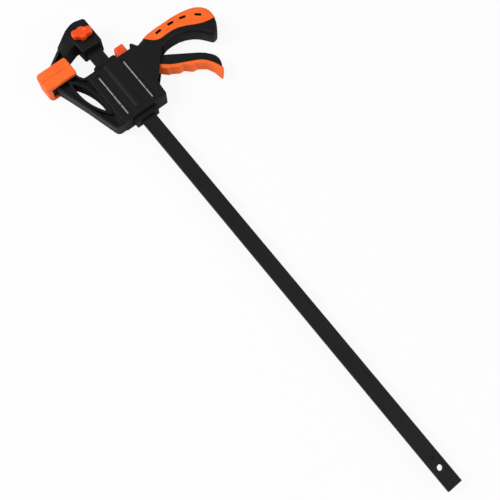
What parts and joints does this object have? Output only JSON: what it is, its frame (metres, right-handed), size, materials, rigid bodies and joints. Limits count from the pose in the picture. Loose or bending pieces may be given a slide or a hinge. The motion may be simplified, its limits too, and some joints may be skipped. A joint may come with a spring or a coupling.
{
  "type": "quick release bar clamp",
  "caption": "One-handed quick release bar clamp: a flat steel bar with a fixed jaw at one end and a sliding head with grip, trigger and release lever.",
  "frame": {"origin": "centre of the bounding box at the plane the clamp lies on", "axes": "+X along the bar from the fixed jaw to the tail, +Y from the pads across the bar to the handle, +Z out of the front face, the knob's side"},
  "size_m": [0.6938, 0.2214, 0.0355],
  "materials": {
    "bar_steel": "smooth black phosphate coat, satin",
    "black_plastic": "glass filled nylon, fine moulded grain",
    "pad_rubber": "soft moulded, satin",
    "grip_rubber": "soft moulded, satin",
    "knob_plastic": "smooth moulded, satin",
    "zinc_steel": "zinc plated",
    "screw_steel": "zinc plated",
    "plain_steel": "stamped, oiled",
    "spring_steel": "drawn spring wire"
  },
  "bodies": {
    "bar_and_fixed_jaw": {"bar": "bar_steel", "fixed_jaw": "black_plastic", "fixed_pad": "pad_rubber", "jaw_nut": "zinc_steel", "knob_washer": "zinc_steel"},
    "knob": {"knob": "knob_plastic", "knob_stud": "zinc_steel"},
    "head": {"housing_front": "black_plastic", "housing_back": "black_plastic", "moving_pad": "pad_rubber", "grip_insert_front": "grip_rubber", "grip_insert_back": "grip_rubber", "housing_screws": "screw_steel", "trigger_pin": "plain_steel", "drive_spring": "spring_steel", "brake_spring": "spring_steel"},
    "trigger": {"trigger": "black_plastic", "trigger_grip": "grip_rubber"},
    "drive": {"drive_plates": "plain_steel"},
    "brake": {"brake_plate": "plain_steel", "release_cap": "knob_plastic"}
  },
  "joints": [
    {"name": "head_slide", "type": "slide", "parent": "bar_and_fixed_jaw", "child": "head", "axis": [1, 0, 0], "range_m": [0, 0.5]},
    {"name": "knob_turn", "type": "hinge", "parent": "bar_and_fixed_jaw", "child": "knob", "pos_m": [-0.32519, -0.03365, 0.02751], "axis": [0, 0, 1], "continuous": true},
    {"name": "trigger_squeeze", "type": "hinge", "parent": "head", "child": "trigger", "pos_m": [-0.24619, 0.00635, 0.01401], "axis": [0, 0, 1], "range_deg": [0, 20], "stiffness_Nm_per_rad": 1.7, "springref_deg": -20.05, "deforming": ["drive_spring"]},
    {"name": "drive_push", "type": "slide", "parent": "head", "child": "drive", "axis": [1, 0, 0], "range_m": [0, 0.0072]},
    {"name": "brake_release", "type": "hinge", "parent": "head", "child": "brake", "pos_m": [-0.26819, -0.04965, 0.01401], "axis": [0, 0, -1], "range_deg": [0, 6], "stiffness_Nm_per_rad": 0.6, "springref_deg": -17.19, "deforming": ["brake_spring"]}
  ],
  "couplings": [
    {"joint": "drive_push", "follows": "trigger_squeeze", "m_per_rad": 0.0205}
  ]
}
